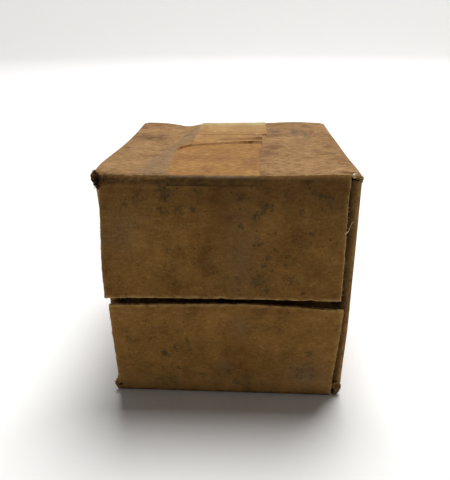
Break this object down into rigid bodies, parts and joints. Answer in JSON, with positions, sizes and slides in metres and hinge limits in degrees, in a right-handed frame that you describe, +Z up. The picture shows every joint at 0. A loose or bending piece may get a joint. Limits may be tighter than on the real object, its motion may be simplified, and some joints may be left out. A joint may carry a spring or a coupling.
{
  "type": "rosin cake in a folding carton",
  "caption": "Small worn paperboard carton on its side, front flaps ajar and old clear tape along its top, holding a round cake of rosin in a fluted paper cup.",
  "frame": {"origin": "middle of the bottom face of the carton, on the surface that it lies on", "axes": "+Z up, +X to the right as seen from the open front, +Y from the open front to the taped back"},
  "size_m": [0.054, 0.0616, 0.0541],
  "materials": {
    "paperboard": "matte uncoated kraft board, browned and scuffed",
    "stained_paperboard": "matte uncoated board, darkly stained and spotted with mould",
    "aged_tape": "yellowed clear tape, semi-gloss, wrinkled",
    "cup_paper": "matte fluted paper",
    "rosin": "glassy dark amber resin with a dusty face"
  },
  "bodies": {
    "carton": {"top_panel": "paperboard", "right_panel": "paperboard", "bottom_panel": "paperboard", "left_panel": "paperboard", "glue_lap": "paperboard", "back_top_flap": "paperboard", "back_bottom_flap": "paperboard", "back_left_dust_flap": "paperboard", "back_right_dust_flap": "paperboard", "tape_front_strip": "aged_tape", "tape_back_strip": "aged_tape"},
    "front_top_flap": {"front_top_flap": "stained_paperboard", "tape_tail": "aged_tape"},
    "front_bottom_flap": {"front_bottom_flap": "stained_paperboard"},
    "front_left_dust_flap": {"front_left_dust_flap": "paperboard"},
    "front_right_dust_flap": {"front_right_dust_flap": "paperboard"},
    "rosin": {"paper_cup": "cup_paper", "rosin_cake": "rosin"}
  },
  "joints": [
    {"name": "top_flap_crease", "type": "hinge", "parent": "carton", "child": "front_top_flap", "pos_m": [0, -0.029, 0.054], "axis": [-1, 0, 0], "range_deg": [-7.5, 170]},
    {"name": "bottom_flap_crease", "type": "hinge", "parent": "carton", "child": "front_bottom_flap", "pos_m": [0, -0.029, 0], "axis": [1, 0, 0], "range_deg": [-6, 84]},
    {"name": "left_dust_flap_crease", "type": "hinge", "parent": "carton", "child": "front_left_dust_flap", "pos_m": [-0.0261, -0.02765, 0.027], "axis": [0, 0, 1], "range_deg": [-15, 50]},
    {"name": "right_dust_flap_crease", "type": "hinge", "parent": "carton", "child": "front_right_dust_flap", "pos_m": [0.0261, -0.02765, 0.027], "axis": [0, 0, -1], "range_deg": [-15, 50]},
    {"name": "cup_slide", "type": "slide", "parent": "carton", "child": "rosin", "axis": [0, -1, 0], "range_m": [0, 0.005]}
  ]
}
